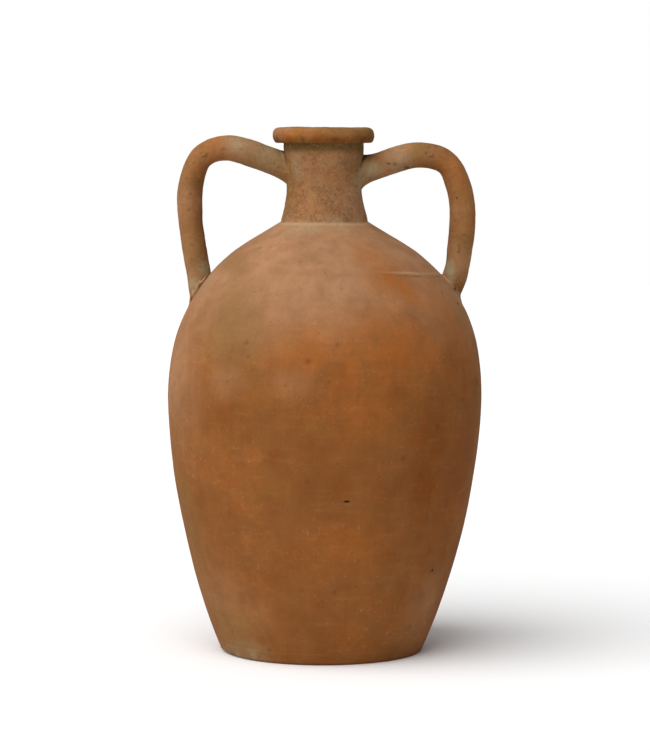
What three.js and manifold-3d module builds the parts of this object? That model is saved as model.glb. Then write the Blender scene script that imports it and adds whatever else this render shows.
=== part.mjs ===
// An earthenware amphora in millimetres, +Z up, with the origin at the centre of the foot.
// The pot was thrown in sections that were luted together with slip, so each section is its
// own solid of revolution about Z. The two pulled handles lie in the XZ plane, and a wad of
// soft clay is smoothed round each end of a handle where it meets the wall.

import * as THREE from "three";
import { mergeVertices } from "three/addons/utils/BufferGeometryUtils.js";
import Module from "manifold-3d";

const wasm = await Module();
wasm.setup();

// Driving dimensions
const HEIGHT = 508;
const FOOT_RADIUS = 98.5;
const FOOT_CHAMFER = 1.5;
const BELLY_RADIUS = 152.5;
const BELLY_HEIGHT = 249;
const SHOULDER_SEAM = 368;
const SHOULDER_RADIUS = 94;
const SHOULDER_HEIGHT = 384.7;
const CREASE_RADIUS = 43;
const CREASE_HEIGHT = 418;
const NECK_TOP = 492.5;
const NECK_TOP_RADIUS = 39;
const LIP_RADIUS = 48.8;
const MOUTH_RADIUS = 31;
const FLOOR = 12;
const WALL = 9;
const NECK_WALL = 8;
const HANDLE_THICKNESS = 25;
const HANDLE_WIDTH = 27;

// Luted joints: a V tongue on one section fits a groove in the next, and a film of slip
// keeps the two apart.
const TONGUE = 3;
const SLIP = 0.4;
const CLEARANCE = 0.3;

// Facets
const SEGMENTS = 48;
const HANDLE_SIDES = 20;
const HANDLE_STEPS = 26;
const WAD_SEGMENTS = 24;

// Handle centrelines in the XZ plane. Each starts and ends inside the pot's walls.
const HANDLE_LINES = {
  left: [
    [-28, 466],
    [-55, 476.5],
    [-92, 487],
    [-117, 478.5],
    [-129, 452],
    [-129.5, 420],
    [-125, 384],
    [-119.5, 350],
    [-114, 325],
  ],
  right: [
    [28, 463.5],
    [54, 472],
    [90, 481],
    [116, 472],
    [128.5, 450],
    [133, 422],
    [130, 387],
    [124, 354],
    [118, 328],
  ],
};

// How far a wad stands up the handle from the wall, and its reach beyond the handle at the
// wall and at its top, as shares of the handle's own half section.
const NECK_WAD = { height: 9, foot: 1.3, top: 1.12 };
const SHOULDER_WAD = { height: 9, foot: 1.2, top: 1.12 };
const WAD_ROOT = 8;

const v2 = (r, z) => new THREE.Vector2(r, z);

// Outer outline of the pot, as radius against height
const LOWER_OUTLINE = new THREE.CubicBezierCurve(
  v2(FOOT_RADIUS, 0),
  v2(151.4, 121),
  v2(BELLY_RADIUS, BELLY_HEIGHT - 10),
  v2(BELLY_RADIUS, BELLY_HEIGHT),
);
const UPPER_OUTLINE = new THREE.CubicBezierCurve(
  v2(BELLY_RADIUS, BELLY_HEIGHT),
  v2(BELLY_RADIUS, 321),
  v2(123.4, 358.3),
  v2(SHOULDER_RADIUS, SHOULDER_HEIGHT),
);
const SHOULDER_OUTLINE = new THREE.CubicBezierCurve(
  v2(SHOULDER_RADIUS, SHOULDER_HEIGHT),
  v2(82.3, 395.3),
  v2(55.5, 408),
  v2(CREASE_RADIUS, CREASE_HEIGHT),
);
const NECK_OUTLINE = new THREE.CubicBezierCurve(
  v2(CREASE_RADIUS, CREASE_HEIGHT),
  v2(31.6, 450.5),
  v2(39.3, 468),
  v2(NECK_TOP_RADIUS, NECK_TOP),
);

function outlineAt(height) {
  if (height < BELLY_HEIGHT) return LOWER_OUTLINE;
  if (height < SHOULDER_HEIGHT) return UPPER_OUTLINE;
  return height < CREASE_HEIGHT ? SHOULDER_OUTLINE : NECK_OUTLINE;
}

// The outline's point at a height, and the unit normal there that points out of the clay.
function wallAt(height) {
  const curve = outlineAt(height);
  let below = 0;
  let above = 1;
  while (above - below > 1e-7) {
    const middle = (below + above) / 2;
    if (curve.getPoint(middle).y < height) below = middle;
    else above = middle;
  }
  const tangent = curve.getTangent(below);
  return { point: curve.getPoint(below), normal: v2(tangent.y, -tangent.x) };
}

// Points at even heights from low to high, at a depth under the outer face of the wall.
function wallLine(low, high, steps, depth = 0) {
  return Array.from({ length: steps + 1 }, (_, i) => {
    const { point, normal } = wallAt(THREE.MathUtils.lerp(low, high, i / steps));
    return point.addScaledVector(normal, -depth);
  });
}

// A luted joint runs across the wall from its outer to its inner point. Its tongue stands up
// from the lower section, or down from the upper one where the tongue is negative.
function joint(outer, inner, tongue = TONGUE) {
  return { outer, inner, tongue };
}

function wallJoint(height) {
  const { point, normal } = wallAt(height);
  return joint(point, point.clone().addScaledVector(normal, -WALL));
}

// The joint's face from outside to inside, moved up (+1) or down (-1) by half of the slip.
function jointFace({ outer, inner, tongue }, side) {
  const across = inner.clone().sub(outer).normalize();
  const up = v2(across.y, -across.x);
  const tip = outer.clone().lerp(inner, 0.5).addScaledVector(up, tongue);
  return [outer, tip, inner].map((p) => p.clone().addScaledVector(up, (side * SLIP) / 2));
}

// A ring of wall between two joints. The profile runs up the outside and down the inside.
function ringProfile(lower, outerLine, upper, innerLine) {
  const profile = [
    ...outerLine,
    ...jointFace(upper, -1),
    ...innerLine.reverse(),
    ...jointFace(lower, 1).reverse(),
  ];
  return [...profile, profile[0].clone()];
}

function latheAboutZ(profile, segments) {
  return new THREE.LatheGeometry(profile, segments).rotateX(Math.PI / 2);
}

function solidOf(geometry) {
  const bare = geometry.clone();
  bare.deleteAttribute("normal");
  bare.deleteAttribute("uv");
  const merged = mergeVertices(bare, 1e-3);
  return new wasm.Manifold(
    new wasm.Mesh({
      numProp: 3,
      vertProperties: merged.attributes.position.array,
      triVerts: new Uint32Array(merged.index.array),
    }),
  );
}

function geometryOf(solid) {
  const { vertProperties, triVerts } = solid.getMesh();
  const geometry = new THREE.BufferGeometry();
  geometry.setAttribute("position", new THREE.BufferAttribute(vertProperties, 3));
  geometry.setIndex(new THREE.BufferAttribute(triVerts, 1));
  geometry.computeVertexNormals();
  return geometry;
}

// Sections of the pot, from the foot up
const slabEdge = wallAt(FLOOR + SLIP / 2).point;
const floorJoint = joint(slabEdge, v2(slabEdge.x - WALL, slabEdge.y), -TONGUE);
const bellyJoint = wallJoint(BELLY_HEIGHT);
const shoulderJoint = wallJoint(SHOULDER_SEAM);
const creaseJoint = joint(
  v2(CREASE_RADIUS, CREASE_HEIGHT),
  v2(CREASE_RADIUS - 7.5, CREASE_HEIGHT - 5),
);
const lipJoint = joint(v2(NECK_TOP_RADIUS, NECK_TOP), v2(MOUTH_RADIUS, NECK_TOP));

function baseSlabProfile() {
  return [
    v2(0, 0),
    v2(FOOT_RADIUS - FOOT_CHAMFER, 0),
    ...wallLine(FOOT_CHAMFER, FLOOR - 2, 2),
    ...jointFace(floorJoint, -1),
    v2(0, FLOOR),
  ];
}

function lowerWallProfile() {
  const outer = wallLine(FLOOR + 8, BELLY_HEIGHT - 12, 9);
  const inner = wallLine(FLOOR + 12, BELLY_HEIGHT - 16, 7, WALL);
  return ringProfile(floorJoint, outer, bellyJoint, inner);
}

function upperWallProfile() {
  const outer = wallLine(BELLY_HEIGHT + 12, SHOULDER_SEAM - 7, 7);
  const inner = wallLine(BELLY_HEIGHT + 16, SHOULDER_SEAM - 8, 5, WALL);
  return ringProfile(bellyJoint, outer, shoulderJoint, inner);
}

function shoulderProfile() {
  const outer = wallLine(SHOULDER_SEAM + 5, CREASE_HEIGHT - 5, 6);
  const inner = wallLine(SHOULDER_SEAM + 6, CREASE_HEIGHT - 8, 4, WALL);
  return ringProfile(shoulderJoint, outer, creaseJoint, inner);
}

function neckProfile() {
  const outer = wallLine(CREASE_HEIGHT + 6, NECK_TOP - 8, 5);
  const inner = wallLine(CREASE_HEIGHT + 10, NECK_TOP - 10, 3, NECK_WALL);
  return ringProfile(creaseJoint, outer, lipJoint, inner);
}

// The lip is rolled outwards over the neck, flat on top, and rounded into the mouth.
function rimProfile() {
  const rollHeight = 7.5;
  const rollWidth = 6.5;
  const mouthRound = 6;
  const roll = new THREE.EllipseCurve(
    LIP_RADIUS - rollWidth,
    HEIGHT - rollHeight,
    rollWidth,
    rollHeight,
    -0.45 * Math.PI,
    0.5 * Math.PI,
  );
  const mouth = new THREE.EllipseCurve(
    MOUTH_RADIUS + mouthRound,
    HEIGHT - mouthRound,
    mouthRound,
    mouthRound,
    0.5 * Math.PI,
    Math.PI,
  );
  const profile = [
    ...roll.getPoints(8),
    ...mouth.getPoints(4),
    ...jointFace(lipJoint, 1).reverse(),
  ];
  return [...profile, profile[0].clone()];
}

// The pot as one filled solid, a little larger than the walls, to cut handles and wads to it.
function coreSolid() {
  const profile = [
    v2(0, 1),
    ...wallLine(1, BELLY_HEIGHT, 40, -CLEARANCE),
    ...wallLine(BELLY_HEIGHT + 3, CREASE_HEIGHT - 1, 60, -CLEARANCE),
    ...wallLine(CREASE_HEIGHT + 1, NECK_TOP, 20, -CLEARANCE),
    v2(0, NECK_TOP),
  ];
  return solidOf(latheAboutZ(profile, SEGMENTS));
}

function handleSweep(line, growth) {
  const section = new THREE.Shape();
  const halfWidth = HANDLE_WIDTH / 2 + growth;
  const halfThickness = HANDLE_THICKNESS / 2 + growth;
  section.absellipse(0, 0, halfWidth, halfThickness, 0, 2 * Math.PI);
  const outline = new THREE.Shape(section.getSpacedPoints(HANDLE_SIDES).slice(1));
  return solidOf(
    new THREE.ExtrudeGeometry(outline, { steps: HANDLE_STEPS, extrudePath: line }),
  );
}

// Where a handle's centreline leaves the wall: from is a place on the line inside the wall,
// and to is one outside it.
function crossing(line, from, to) {
  let inside = from;
  let outside = to;
  while (Math.abs(outside - inside) > 1e-6) {
    const middle = (inside + outside) / 2;
    const { x, z } = line.getPoint(middle);
    if (Math.abs(x) < wallAt(z).point.x) inside = middle;
    else outside = middle;
  }
  return inside;
}

// A bell of clay on the wall's surface whose axis leans with the handle.
function wadSolid(line, place, direction, { height, foot, top }) {
  const centre = line.getPoint(place);
  const along = line.getTangent(place).multiplyScalar(direction);
  const { normal } = wallAt(centre.z);
  const out = new THREE.Vector3(Math.sign(centre.x) * normal.x, 0, normal.y);
  const lean = along.dot(out);
  const sideways = new THREE.Vector3(0, 1, 0);
  const uphill = sideways.clone().cross(out);
  const bell = [
    v2(0, -WAD_ROOT),
    v2(foot, -WAD_ROOT),
    v2(foot, 0),
    v2(THREE.MathUtils.lerp(top, foot, 0.5), 0.3 * height),
    v2(THREE.MathUtils.lerp(top, foot, 0.15), 0.65 * height),
    v2(top, height),
    v2(0, height),
  ];
  const frame = new THREE.Matrix4()
    .makeBasis(
      uphill.multiplyScalar(HANDLE_THICKNESS / 2 / lean),
      sideways.multiplyScalar(HANDLE_WIDTH / 2),
      along.divideScalar(lean),
    )
    .setPosition(centre);
  return solidOf(latheAboutZ(bell, WAD_SEGMENTS).applyMatrix4(frame));
}

const CLAY_COLOURS = {
  wall: "#98623a",
  lip: "#96693f",
  handle: "#96704a",
  wad: "#a07d58",
};

function clay(colour, roughness) {
  return new THREE.MeshStandardMaterial({ color: colour, roughness, metalness: 0 });
}

function piece(name, geometry, colour, roughness) {
  const mesh = new THREE.Mesh(geometry, clay(colour, roughness));
  mesh.name = name;
  return mesh;
}

function potSections() {
  const sections = new THREE.Group();
  const profiles = {
    base_slab: baseSlabProfile(),
    lower_wall: lowerWallProfile(),
    upper_wall: upperWallProfile(),
    shoulder: shoulderProfile(),
    neck: neckProfile(),
  };
  for (const [name, profile] of Object.entries(profiles)) {
    sections.add(piece(name, latheAboutZ(profile, SEGMENTS), CLAY_COLOURS.wall, 0.9));
  }
  sections.add(piece("rim", latheAboutZ(rimProfile(), SEGMENTS), CLAY_COLOURS.lip, 0.85));
  return sections;
}

function handleWithWads(side, core) {
  const points = HANDLE_LINES[side].map(([x, z]) => new THREE.Vector3(x, 0, z));
  const line = new THREE.CatmullRomCurve3(points);
  const grownHandle = handleSweep(line, CLEARANCE);
  const wads = {
    neck: wadSolid(line, crossing(line, 0, 0.3), 1, NECK_WAD),
    shoulder: wadSolid(line, crossing(line, 1, 0.7), -1, SHOULDER_WAD),
  };
  const group = new THREE.Group();
  const handle = geometryOf(handleSweep(line, 0).subtract(core));
  group.add(piece(`${side}_handle`, handle, CLAY_COLOURS.handle, 0.85));
  for (const [end, wad] of Object.entries(wads)) {
    const ring = geometryOf(wad.subtract(grownHandle).subtract(core));
    group.add(piece(`${side}_handle_${end}_wad`, ring, CLAY_COLOURS.wad, 0.95));
  }
  return group;
}

const core = coreSolid();
const amphora = new THREE.Group();
amphora.add(potSections());
amphora.add(handleWithWads("left", core));
amphora.add(handleWithWads("right", core));

export default amphora;
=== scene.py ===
"""The looks of a two-handled terracotta amphora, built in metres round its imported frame.

The pot is a surface of revolution with its axis on Z, the handles lie in the XZ plane, and
the front faces -Y. Every piece of the CAD model gets one detailed mesh that stands for it.
"""

import math

import bpy
import numpy as np
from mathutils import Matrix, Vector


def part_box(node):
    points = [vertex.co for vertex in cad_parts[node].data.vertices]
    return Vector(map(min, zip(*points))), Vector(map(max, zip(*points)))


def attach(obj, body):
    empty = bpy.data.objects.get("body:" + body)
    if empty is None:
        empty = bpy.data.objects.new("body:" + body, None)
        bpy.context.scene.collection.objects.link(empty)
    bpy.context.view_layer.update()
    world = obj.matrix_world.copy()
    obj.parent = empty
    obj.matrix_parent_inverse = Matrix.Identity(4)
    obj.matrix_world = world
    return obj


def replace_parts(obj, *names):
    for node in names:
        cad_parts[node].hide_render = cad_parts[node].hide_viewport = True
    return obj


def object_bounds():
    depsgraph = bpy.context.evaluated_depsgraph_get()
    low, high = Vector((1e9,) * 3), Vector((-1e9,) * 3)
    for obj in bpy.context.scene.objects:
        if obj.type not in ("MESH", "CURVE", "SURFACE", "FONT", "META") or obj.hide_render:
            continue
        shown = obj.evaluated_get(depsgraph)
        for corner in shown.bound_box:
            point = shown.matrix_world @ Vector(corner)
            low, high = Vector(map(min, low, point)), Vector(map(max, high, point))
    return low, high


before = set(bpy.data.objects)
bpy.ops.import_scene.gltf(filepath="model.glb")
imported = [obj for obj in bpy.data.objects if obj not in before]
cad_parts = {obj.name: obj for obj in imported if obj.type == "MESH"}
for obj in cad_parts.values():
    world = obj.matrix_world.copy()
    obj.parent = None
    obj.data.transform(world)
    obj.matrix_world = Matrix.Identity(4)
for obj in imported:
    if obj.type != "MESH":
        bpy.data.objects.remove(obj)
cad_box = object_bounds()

MM = 0.001
TAU = 2 * math.pi

# Shape of the pot, as in the CAD source
HEIGHT = cad_box[1].z
BELLY_HEIGHT = 249 * MM
SHOULDER_SEAM = 368 * MM
CREASE_HEIGHT = 417.5 * MM
NECK_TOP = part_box("rim")[0].z
FLOOR = 12 * MM
WALL = 9 * MM
NECK_WALL = 8 * MM

# Outer outline from the foot up: cubic curves whose points are (radius, height) in mm
OUTLINE_CURVES = [
    [(97, 0), (149.6, 121), (152, 239), (152, 249)],
    [(152, 249), (152, 321), (124.4, 358), (93.4, 384.4)],
    [(93.4, 384.4), (81.7, 395), (55.4, 408.5), (42.6, 417.5)],
    [(42.6, 417.5), (30.6, 450.5), (38.7, 468), (38.6, 493)],
]

# How far the axis leans sideways at a height, in mm: the pot was never quite true
LEAN = [(0, -3.0), (60, -2.0), (121, -1.1), (180, -1.1), (250, -0.4),
        (300, 0.8), (330, 1.4), (370, 0.8), (420, -0.5), (508, -1.5)]

# Mesh density
COLUMNS = 512
HANDLE_COLUMNS = 104
HANDLE_ROWS = 250
SWEEP_ROWS = 700
WAD_COLUMNS = 192
WAD_ROWS = 30


# ---- shape tools


def bezier(points, steps=400):
    """A cubic curve as an array of its points."""
    t = np.linspace(0, 1, steps)[:, None]
    a, b, c, d = (np.array(p, float) for p in points)
    return (1 - t) ** 3 * a + 3 * (1 - t) ** 2 * t * b + 3 * (1 - t) * t**2 * c + t**3 * d


def smooth_path(points, steps):
    """A Catmull-Rom curve through the points, at even parameter steps."""
    p = np.array(points, float)
    p = np.vstack([2 * p[0] - p[1], p, 2 * p[-1] - p[-2]])
    spans = len(p) - 3
    u = np.linspace(0, spans, steps)
    i = np.minimum(u.astype(int), spans - 1)
    t = (u - i)[:, None]
    a, b, c, d = p[i], p[i + 1], p[i + 2], p[i + 3]
    square = (2 * a - 5 * b + 4 * c - d) * t**2
    cube = (3 * b - a - 3 * c + d) * t**3
    return 0.5 * (2 * b + (c - a) * t + square + cube)


def arc_lengths(points):
    """Length along a line of points, from its first point to each one."""
    return np.concatenate([[0], np.cumsum(np.linalg.norm(np.diff(points, axis=0), axis=1))])


def unit(v):
    return v / np.linalg.norm(v, axis=-1, keepdims=True)


def bump_profile(x):
    """1 at the centre, 0 from a distance of 1."""
    return np.clip(1 - np.abs(x), 0, 1) ** 2 * (1 + 2 * np.clip(np.abs(x), 0, 1))


class Lumps:
    """Smooth noise between -1 and 1: random values on a cubic lattice, blended in between."""

    SIDE = 32

    def __init__(self, seed):
        self.values = np.random.default_rng(seed).uniform(-1, 1, (self.SIDE,) * 3)

    def __call__(self, points, wavelength):
        p = np.asarray(points) / wavelength
        cell = np.floor(p).astype(int)
        f = p - cell
        f = f * f * (3 - 2 * f)
        total = 0
        for corner in np.ndindex(2, 2, 2):
            share = np.prod(np.where(corner, f, 1 - f), axis=-1)
            x, y, z = np.moveaxis((cell + corner) % self.SIDE, -1, 0)
            total = total + share * self.values[x, y, z]
        return total


swell = Lumps(11)
dents = Lumps(12)
grain = Lumps(13)
wiping = Lumps(14)
crumble = Lumps(15)
warp_noise = [Lumps(seed) for seed in (21, 22, 23)]


def warped(points, amount, wavelength):
    """The points moved about smoothly, so that what is measured from them has ragged edges."""
    shift = np.stack([noise(points, wavelength) for noise in warp_noise], axis=-1)
    return points + amount * shift


# ---- the wall


def outline_table():
    """Radius and height all the way up the outline, and its outward normals, a little smoothed."""
    line = np.vstack([bezier(c) for c in OUTLINE_CURVES]) * MM
    tangents = np.vstack([unit(np.gradient(bezier(c), axis=0)) for c in OUTLINE_CURVES])
    normals = np.stack([tangents[:, 1], -tangents[:, 0]], axis=1)
    kernel = np.ones(9) / 9
    padded = np.pad(normals, ((4, 4), (0, 0)), mode="edge")
    normals = np.stack([np.convolve(padded[:, k], kernel, "valid") for k in (0, 1)], axis=1)
    return line, unit(normals)


OUTLINE, OUTLINE_NORMALS = outline_table()
LEAN_TABLE = np.array(LEAN, float) * MM


def lean(z):
    return np.interp(z, LEAN_TABLE[:, 0], LEAN_TABLE[:, 1])


def outline_at(z):
    """Radius of the outline at a height, and its outward normal's two parts."""
    r = np.interp(z, OUTLINE[:, 1], OUTLINE[:, 0])
    out = np.interp(z, OUTLINE[:, 1], OUTLINE_NORMALS[:, 0])
    up = np.interp(z, OUTLINE[:, 1], OUTLINE_NORMALS[:, 1])
    return r, out, up


def surface_point(azimuth, height):
    """The point of the plain outline at an azimuth in degrees (0 is the front, 90 is +X)."""
    a = math.radians(azimuth - 90)
    r = float(outline_at(height)[0])
    return np.array([r * math.cos(a), r * math.sin(a), height])


def scatter(seed, count, heights, radii, depths):
    """Random pits on the wall between two heights: centre, radius and depth of each."""
    rng = np.random.default_rng(seed)
    z = rng.uniform(*heights, count)
    a = rng.uniform(0, TAU, count)
    r = outline_at(z)[0]
    centres = np.stack([r * np.cos(a), r * np.sin(a), z], axis=1)
    size = rng.uniform(0, 1, count) ** 2
    radius = radii[0] + (radii[1] - radii[0]) * size
    depth = depths[0] + (depths[1] - depths[0]) * size
    return zip(centres, radius, depth)


# Pits that are plain to see: azimuth and height, half width and half height, and depth, in mm
MARKED_PITS = [
    (8.6, 161.5, 3.0, 1.1, 1.2), (54.9, 87, 1.4, 1.4, 1.1), (75.0, 340, 1.5, 1.5, 0.9),
    (-37.0, 272, 1.3, 1.0, 0.5), (-14.0, 270, 1.0, 1.4, 0.5), (38.0, 185, 1.2, 1.2, 0.5),
    (5.0, 197, 1.4, 0.9, 0.5), (165.0, 150, 2.6, 1.2, 1.1), (214.0, 302, 1.6, 1.6, 0.9),
    (132.0, 96, 1.5, 1.2, 0.8), (250.0, 205, 2.2, 1.0, 0.9),
]
# Small pits of the body and of the neck: random seed, count, and the ranges of height, radius
# and depth
RANDOM_PITS = [
    (31, 210, (5 * MM, CREASE_HEIGHT), (1.2 * MM, 2.6 * MM), (0.15 * MM, 0.45 * MM)),
    (32, 40, (CREASE_HEIGHT + 3 * MM, NECK_TOP - 4 * MM), (0.5 * MM, 1.5 * MM),
     (0.15 * MM, 0.40 * MM)),
]


def all_pits():
    """Centre, half width, half height and depth of every pit in the wall."""
    pits = []
    for azimuth, height, wide, tall, deep in MARKED_PITS:
        pits.append((surface_point(azimuth, height * MM), wide * MM, tall * MM, deep * MM))
    for small_pits in RANDOM_PITS:
        for centre, radius, depth in scatter(*small_pits):
            pits.append((centre, radius, radius, depth))
    return pits


PITS = all_pits()


def pit_depths(points):
    """Depth of the pits at each point, and how far into one of them it is, from 0 to 1."""
    depth = np.zeros(len(points))
    inside = np.zeros(len(points))
    for centre, wide, tall, deep in PITS:
        near = np.flatnonzero(np.abs(points[:, 2] - centre[2]) < tall * 1.6)
        x, y, z = (points[near] - centre).T
        ratio = np.sqrt((x**2 + y**2) / wide**2 + z**2 / tall**2)
        hit = ratio < 1.5
        near = near[hit]
        shape = bump_profile(ratio[hit] / 1.5)
        depth[near] = np.maximum(depth[near], deep * shape)
        inside[near] = np.maximum(inside[near], shape * min(1, deep / (0.9 * MM)))
    return depth, inside


def seam_ridge(points):
    """The ridge and the groove where the shoulder was luted on, plainest at the right."""
    x, y, z = points.T
    azimuth = np.degrees(np.arctan2(x, -y))
    line = 372.6 * MM - np.clip(x - 44 * MM, 0, None) * 0.085
    line = line + 0.5 * MM * swell(points, 30 * MM)
    shown = bump_profile((azimuth - 57) / 38) + 0.35 * bump_profile((azimuth + 120) / 50)
    shown = shown * np.clip(0.75 + 0.6 * dents(points, 14 * MM), 0.2, 1)
    ridge = bump_profile((z - line - 1.0 * MM) / (1.6 * MM))
    groove = bump_profile((z - line + 1.1 * MM) / (1.7 * MM))
    return shown * ridge, shown * groove


def body_relief(points):
    """Swells and wiping marks of the body."""
    squeezed = points / [9, 9, 1]
    marks = 0.05 * MM * wiping(squeezed, 3.4 * MM) * (0.6 + 0.4 * swell(points, 60 * MM))
    return 0.75 * MM * swell(points, 105 * MM) + marks


def neck_relief(points):
    """Crumbly clay of the neck, and the worm tracks in it, from 0 to 1."""
    rough = 0.17 * MM * crumble(points, 2.6 * MM) + 0.15 * MM * grain(points, 5.2 * MM)
    away = np.abs(dents(warped(points, 2 * MM, 9 * MM), 5.5 * MM))
    tracks = bump_profile(away / 0.10) * np.clip(0.4 + swell(points, 26 * MM), 0, 1)
    tracks = tracks * bump_profile((points[:, 2] - 452 * MM) / (36 * MM))
    return rough - 0.22 * MM * tracks, tracks


def wall_relief(points):
    """Height of the clay over the plain outline, and the masks that the colours need."""
    z = points[:, 2]
    on_neck = np.clip((z - CREASE_HEIGHT) / (5 * MM), 0, 1)
    neck_high, tracks = neck_relief(points)
    high = body_relief(points) * (1 - on_neck) + neck_high * on_neck
    high = high + 0.28 * MM * dents(points, 34 * MM) + 0.05 * MM * grain(points, 9 * MM)
    ridge, groove = seam_ridge(points)
    depth, inside = pit_depths(points)
    crease = bump_profile((z - CREASE_HEIGHT) / (2.0 * MM))
    crease_edge = bump_profile((z - CREASE_HEIGHT + 1.6 * MM) / (1.6 * MM))
    high = high + 0.75 * MM * ridge - 0.6 * MM * groove - depth - 0.25 * MM * crease
    masks = {
        # Dark pits and worm tracks, and painted shadow in the groove under the seam ridge.
        "pit_and_shade": np.clip(inside + 0.6 * groove + 0.25 * tracks * on_neck, 0, 1),
        # Painted highlight on the seam ridge, and a pale band just under the crease.
        "edge": np.clip(1.3 * ridge + 0.8 * crease_edge, 0, 1),
    }
    return high, masks


def plain_surface(azimuths, heights):
    """Points and outward normals of the plain outline, at azimuths in radians from +X."""
    r, out, up = outline_at(heights)
    c, s = np.cos(azimuths), np.sin(azimuths)
    points = np.stack([r * c, r * s, heights], axis=1)
    return points, np.stack([out * c, out * s, up], axis=1)


def wall_surface(azimuths, heights):
    """Outer surface at azimuths in radians from +X and heights: points and masks."""
    points, normals = plain_surface(azimuths, heights)
    high, masks = wall_relief(points)
    points = points + normals * high[:, None]
    points[:, 0] += lean(heights)
    return points, masks


def inner_surface(azimuths, heights, depth):
    """Inner surface, a wall's depth under the outline, with the rings that throwing leaves."""
    points, normals = plain_surface(azimuths, heights)
    rings = np.sin(TAU * (heights / (8.5 * MM) + azimuths / TAU))
    high = 0.35 * MM * rings + 0.5 * MM * swell(points, 70 * MM)
    points = points + normals * (high - depth)[:, None]
    points[:, 0] += lean(heights)
    return points


# ---- colour masks

# Patches of colour on the wall: azimuth in degrees (0 is the front, 90 is +X), height, half
# width and half height in mm, and strength
WALL_PATCHES = {
    "ember": [
        (22, 298, 66, 42, 0.85), (-12, 302, 40, 26, 0.65), (-14, 266, 34, 24, 0.25),
        (16, 246, 44, 30, 0.55), (31, 386, 26, 22, 0.55), (37, 357, 36, 30, 0.9),
        (60, 330, 40, 60, 0.5), (-34, 176, 24, 30, 0.2), (8, 124, 56, 30, 0.2),
        (150, 260, 60, 50, 0.7), (205, 140, 60, 40, 0.5), (255, 330, 50, 34, 0.6),
    ],
    "umber": [
        (43, 222, 26, 26, 0.8), (42, 180, 28, 34, 0.8), (62, 190, 40, 110, 0.4),
        (-19, 201, 11, 9, 0.7), (2, 180, 26, 60, 0.15), (-40, 238, 18, 18, 0.4),
        # (-74, 170): painted shade along the left edge of the lower body.
        (-74, 170, 34, 80, 0.35), (120, 150, 50, 60, 0.6), (180, 330, 50, 30, 0.4),
        (235, 220, 50, 40, 0.5),
    ],
    "dust_and_painted_light": [
        (-74, 288, 64, 84, 0.8), (-14, 276, 26, 24, 0.5), (-38, 278, 24, 24, 0.4),
        (-56, 48, 48, 46, 0.4), (60, 44, 36, 42, 0.5), (50, 436, 26, 22, 0.8),
        (-40, 480, 16, 14, 0.4), (215, 330, 60, 60, 0.5), (160, 90, 50, 30, 0.4),
    ],
    "ash": [
        (-38, 326, 38, 40, 0.6), (-62, 378, 26, 14, 0.6), (-50, 370, 17, 12, 0.6),
        (80, 240, 22, 100, 0.4), (-72, 130, 30, 100, 0.65), (-56, 36, 46, 36, 0.6),
        (72, 330, 22, 22, 0.5), (-62, 452, 18, 34, 0.7), (58, 470, 18, 20, 0.7),
        (50, 20, 34, 20, 0.3), (170, 30, 90, 24, 0.6), (260, 60, 50, 40, 0.4),
    ],
    "lichen": [
        (-76, 360, 12, 14, 0.45), (84, 342, 9, 12, 0.6), (-52, 8, 36, 14, 0.55),
        (-5, 411, 40, 8, 0.35), (68, 458, 9, 24, 0.4), (-44, 470, 7, 15, 0.3),
        (190, 470, 20, 16, 0.5), (140, 380, 20, 12, 0.4),
    ],
}


def patch_strengths(points, patches, weights=(1, 1, 1)):
    """How strongly each point lies in the patches, with each axis's distance weighted.

    Their edges are ragged. Small patches shift less, so that they stay in place.
    """
    shift = warped(warped(points, 13 * MM, 60 * MM), 5 * MM, 14 * MM) - points
    total = np.zeros(len(points))
    for centre, wide, tall, strength in patches:
        steadiness = min(1, wide / (36 * MM))
        x, y, z = ((points + shift * steadiness - centre) * weights).T
        ratio = np.sqrt((np.hypot(x, y) / wide) ** 2 + (z / tall) ** 2)
        total = np.maximum(total, strength * bump_profile(ratio / 1.5))
    return total


def on_wall(patches):
    """Patches of the wall as centres, half widths and half heights in metres, and strengths."""
    placed = []
    for azimuth, height, wide, tall, strength in patches:
        placed.append((surface_point(azimuth, height * MM), wide * MM, tall * MM, strength))
    return placed


def band(z, low, high, soft):
    """1 between two heights in mm, with soft edges."""
    z = z / MM
    return np.clip((z - low) / soft, 0, 1) * np.clip((high - z) / soft, 0, 1)


def rise(z, low, high):
    """0 under the lower height in mm, 1 over the higher one, and smooth in between."""
    t = np.clip((z / MM - low) / (high - low), 0, 1)
    return t * t * (3 - 2 * t)


def colour_masks(points):
    """The masks of the large colour patches at any points of the object, with a paler top of the
    body that is dust and partly painted light from above, and a painted shadow band under the lip.
    """
    masks = {name: patch_strengths(points, on_wall(patches))
             for name, patches in WALL_PATCHES.items()}
    # The body grows paler towards the shoulder: partly dust, partly painted light falling from
    # above.
    z = points[:, 2] + 5 * MM * dents(points, 16 * MM) + 9 * MM * swell(points, 50 * MM)
    top_dust_and_light = rise(z, 268, 366) * (1 - rise(points[:, 2], 416, 420))
    masks["dust_and_painted_light"] = np.maximum(masks["dust_and_painted_light"], top_dust_and_light)
    # Painted shadow: a dark olive band round the top of the neck, just under the lip, where the
    # lip's shadow falls.
    ragged = points[:, 2] + 2.5 * MM * dents(points, 12 * MM)
    masks["olive"] = 0.85 * band(ragged, 481, 500, 6)
    return masks


# ---- meshes


def add_piece(name, points, faces, uvs, masks, slot):
    """A smooth closed mesh with its masks, its bake map and its slot, riding on the pot's body."""
    mesh = bpy.data.meshes.new(name)
    mesh.from_pydata(points.tolist(), [], faces)
    mesh.update()
    piece = bpy.data.objects.new(name, mesh)
    bpy.context.collection.objects.link(piece)
    layer = mesh.uv_layers.new(name="OFBake")
    layer.data.foreach_set("uv", uvs.ravel())
    for mask, values in masks.items():
        attribute = mesh.attributes.new(mask, "FLOAT", "POINT")
        attribute.data.foreach_set("value", values.astype(np.float32))
    mesh.shade_smooth()
    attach(piece, "root")
    mesh.materials.append(MATERIALS[slot])
    return piece


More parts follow.
